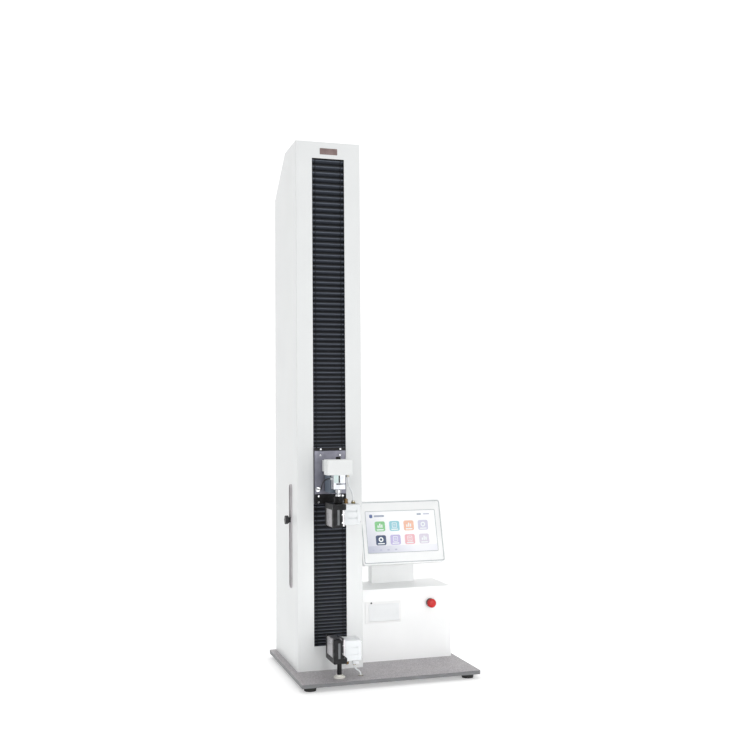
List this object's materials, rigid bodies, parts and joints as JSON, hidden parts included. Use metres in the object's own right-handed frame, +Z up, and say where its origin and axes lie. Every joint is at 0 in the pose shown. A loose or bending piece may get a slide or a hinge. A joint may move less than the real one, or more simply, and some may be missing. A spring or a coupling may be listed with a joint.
{
  "type": "universal testing machine",
  "caption": "Column testing machine: a bellows-covered slot carries a crosshead with load cell and pneumatic jaws over a fixed grip, beside a control box with touch screen.",
  "frame": {"origin": "centre of the footprint, at the underside of the rubber feet", "axes": "+X to the machine's right, where the control box stands; +Y to its back; +Z up"},
  "size_m": [0.483, 0.426, 1.442],
  "materials": {
    "base_grey": "fine texture powder coat",
    "white_coat": "smooth white powder coat",
    "black_rubber": "matt",
    "aluminium": "satin anodised",
    "steel": "ground",
    "chrome": "polished",
    "black_steel": "black oxide",
    "bellows_cloth": "coated cloth, matt",
    "white_plastic": "satin moulded",
    "grey_plastic": "fine texture",
    "black_plastic": "fine texture",
    "blue_grey": "satin",
    "red_plastic": "gloss",
    "hose_white": "polyurethane tube",
    "brass": "nickel worn",
    "screen_glass": "display behind glass",
    "paper": "thermal paper",
    "board": "printed circuit"
  },
  "bodies": {
    "frame": {"base_plate": "base_grey", "base_feet": "black_rubber", "column_shell": "white_coat", "rear_cover": "white_coat", "mast": "aluminium", "guide_rails": "steel", "bearing_blocks": "black_steel", "drive_motor": "black_steel", "motor_bracket": "steel", "timing_belt": "black_rubber", "bellows_upper": "bellows_cloth", "bellows_lower": "bellows_cloth", "limit_rail": "aluminium", "lower_grip_frame": "black_steel", "lower_fixed_jaw": "steel", "lower_cylinder": "white_coat", "lower_hose_fittings": "brass", "lower_air_hose": "hose_white", "lower_post": "black_steel", "lock_flange": "chrome", "control_box": "white_coat", "box_rear_panel": "white_coat", "power_supply": "steel", "control_board": "board", "air_valve": "aluminium", "power_inlet": "black_plastic", "printer_body": "grey_plastic", "estop_body": "black_plastic", "monitor_stand": "white_coat", "monitor_housing": "white_plastic", "monitor_glass": "screen_glass"},
    "crosshead": {"crosshead_saddle": "aluminium", "guide_carriages": "steel", "ball_nut": "steel", "crosshead_plate": "aluminium", "clamp_bars": "black_steel", "load_arm": "white_coat", "cell_amplifier": "blue_grey", "load_cell": "aluminium", "cell_joint": "chrome", "cell_adaptor": "black_steel", "cell_connector": "chrome", "cell_cable": "black_rubber", "upper_grip_frame": "black_steel", "upper_fixed_jaw": "steel", "upper_cylinder": "white_coat", "upper_hose_fittings": "brass", "upper_air_hose": "hose_white"},
    "screw": {"ball_screw": "steel", "screw_pulley": "aluminium"},
    "motor_rotor": {"motor_pulley": "aluminium"},
    "upper_jaw": {"upper_moving_jaw": "steel"},
    "lower_jaw": {"lower_moving_jaw": "steel"},
    "limit_stop": {"limit_block": "aluminium"},
    "limit_knob": {"limit_knob": "black_plastic"},
    "estop": {"estop_button": "red_plastic"},
    "printer_door": {"printer_door": "white_plastic"},
    "paper_roll": {"paper_roll": "paper"},
    "printer_button": {"printer_button": "black_plastic"},
    "power_switch": {"power_switch": "black_plastic"}
  },
  "joints": [
    {"name": "crosshead_slide", "type": "slide", "parent": "frame", "child": "crosshead", "axis": [0, 0, 1], "range_m": [-0.265, 0.6], "deforming": ["bellows_upper", "bellows_lower"]},
    {"name": "ball_screw_spin", "type": "hinge", "parent": "frame", "child": "screw", "pos_m": [-0.1327, -0.017, 0.071], "axis": [0, 0, 1], "range_deg": [-21640, 9580]},
    {"name": "motor_pulley_spin", "type": "hinge", "parent": "frame", "child": "motor_rotor", "pos_m": [-0.1327, 0.096, 0.071], "axis": [0, 0, 1], "range_deg": [-21640, 9580]},
    {"name": "upper_jaw_slide", "type": "slide", "parent": "crosshead", "child": "upper_jaw", "axis": [1, 0, 0], "range_m": [-0.0045, 0]},
    {"name": "lower_jaw_slide", "type": "slide", "parent": "frame", "child": "lower_jaw", "axis": [1, 0, 0], "range_m": [-0.0045, 0]},
    {"name": "limit_stop_slide", "type": "slide", "parent": "frame", "child": "limit_stop", "axis": [0, 0, 1], "range_m": [-0.165, 0.08]},
    {"name": "limit_knob_turn", "type": "hinge", "parent": "limit_stop", "child": "limit_knob", "pos_m": [-0.235, -0.0052, 0.4155], "axis": [1, 0, 0], "range_deg": [0, 360]},
    {"name": "estop_press", "type": "slide", "parent": "frame", "child": "estop", "axis": [0, 1, 0], "range_m": [0, 0.004]},
    {"name": "printer_door_hinge", "type": "hinge", "parent": "frame", "child": "printer_door", "pos_m": [0.0306, -0.0332, 0.1328], "axis": [1, 0, 0], "range_deg": [0, 80]},
    {"name": "printer_button_press", "type": "slide", "parent": "frame", "child": "printer_button", "axis": [0, 1, 0], "range_m": [0, 0.001], "stiffness_N_per_m": 400},
    {"name": "paper_roll_spin", "type": "hinge", "parent": "frame", "child": "paper_roll", "pos_m": [0.0306, -0.0042, 0.155], "axis": [1, 0, 0], "continuous": true},
    {"name": "power_switch_rock", "type": "hinge", "parent": "frame", "child": "power_switch", "pos_m": [-0.0017, 0.1155, 0.076], "axis": [1, 0, 0], "range_deg": [-16, 0]}
  ],
  "couplings": [
    {"joint": "ball_screw_spin", "follows": "crosshead_slide", "rad_per_m": -628.32},
    {"joint": "motor_pulley_spin", "follows": "crosshead_slide", "rad_per_m": -628.32}
  ]
}
